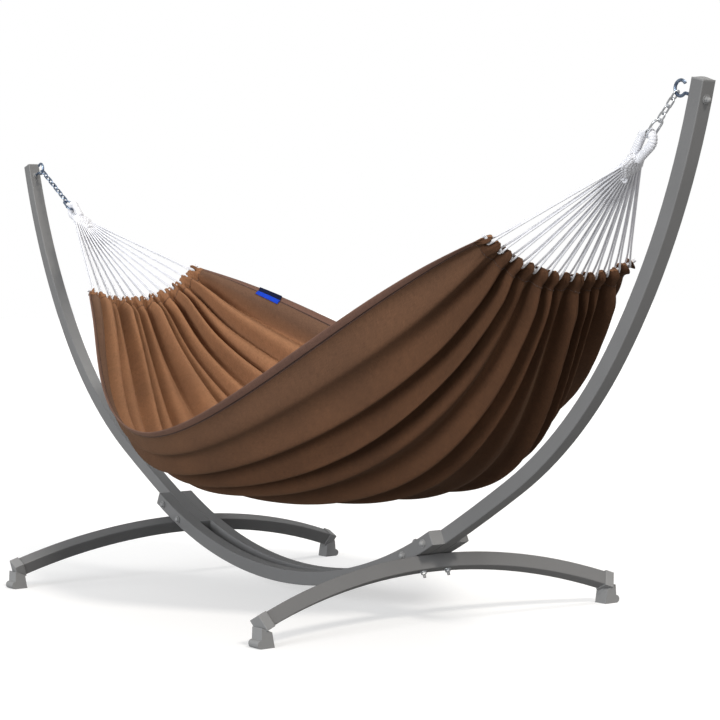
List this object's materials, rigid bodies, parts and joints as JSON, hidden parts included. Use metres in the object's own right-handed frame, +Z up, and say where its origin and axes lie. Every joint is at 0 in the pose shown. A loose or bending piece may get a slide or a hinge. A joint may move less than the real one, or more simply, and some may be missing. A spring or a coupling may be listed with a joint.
{
  "type": "hammock on stand",
  "caption": "Fabric hammock hung by chains between two curved steel arms on a free-standing stand with two arched bases.",
  "frame": {"origin": "on the floor, below the middle of the stand", "axes": "+X along the stand towards the arm whose chain is shorter, +Y across it away from the near side, +Z up"},
  "size_m": [3.4392, 1.2, 1.3601],
  "materials": {
    "grey_steel": "satin grey powder coat",
    "grey_plastic": "moulded grey, matt",
    "grey_bolts": "grey painted bolt heads and cap nuts",
    "zinc": "bright zinc plate",
    "chrome_steel": "bright plated round bar",
    "brown_canvas": "plain-weave cotton canvas",
    "white_cotton": "twisted cotton cord",
    "blue_tag": "woven tag, blank"
  },
  "bodies": {
    "stand": {"arm_cap_left": "grey_plastic", "arm_cap_right": "grey_plastic", "arm_foot_plug_left": "grey_plastic", "arm_foot_plug_right": "grey_plastic", "arm_left": "grey_steel", "arm_right": "grey_steel", "base_arc_left": "grey_steel", "base_arc_right": "grey_steel", "captive_nuts_left": "zinc", "crossing_bolts_left": "zinc", "crossing_bolts_right": "grey_bolts", "crossing_nuts_right": "zinc", "foot_far_left": "grey_plastic", "foot_far_right": "grey_plastic", "foot_near_left": "grey_plastic", "foot_near_right": "grey_plastic", "hook_left": "chrome_steel", "hook_nuts_left": "grey_bolts", "hook_nuts_right": "grey_bolts", "hook_right": "chrome_steel", "rail_far": "grey_steel", "rail_near": "grey_steel", "rail_plug_far_left": "grey_plastic", "rail_plug_far_right": "grey_plastic", "rail_plug_near_left": "grey_plastic", "rail_plug_near_right": "grey_plastic", "side_bolts_left": "grey_bolts", "side_bolts_right": "grey_bolts", "side_nuts_left": "zinc", "side_nuts_right": "zinc", "side_washers_left": "zinc", "side_washers_right": "zinc"},
    "hammock": {"bed": "brown_canvas", "carabiner_left": "zinc", "carabiner_right": "zinc", "chain_edged_left": "zinc", "chain_edged_right": "zinc", "chain_flat_left": "zinc", "chain_flat_right": "zinc", "cords_left": "white_cotton", "cords_right": "white_cotton", "end_loop_left": "white_cotton", "end_loop_right": "white_cotton", "gate_pin_left": "zinc", "gate_pin_right": "zinc", "head_rope_left": "white_cotton", "head_rope_right": "white_cotton", "hem_tunnel_left": "brown_canvas", "hem_tunnel_right": "brown_canvas", "neck_left": "white_cotton", "neck_right": "white_cotton", "tag": "blue_tag"},
    "gate_right_body": {"gate_right": "zinc"},
    "gate_left_body": {"gate_left": "zinc"}
  },
  "joints": [
    {"name": "hammock_swing", "type": "hinge", "parent": "stand", "child": "hammock", "pos_m": [0, 0, 1.32777], "axis": [1, 0, 0], "range_deg": [-30, 30]},
    {"name": "gate_right_open", "type": "hinge", "parent": "hammock", "child": "gate_right_body", "pos_m": [1.52871, -0.0145, 1.24699], "axis": [-0.7079, 0, 0.7063], "range_deg": [0, 30], "stiffness_Nm_per_rad": 0.05, "springref_deg": -17.19},
    {"name": "gate_left_open", "type": "hinge", "parent": "hammock", "child": "gate_left_body", "pos_m": [-1.40345, -0.0145, 1.1962], "axis": [-0.5385, 0, -0.8426], "range_deg": [0, 30], "stiffness_Nm_per_rad": 0.05, "springref_deg": -17.19}
  ]
}
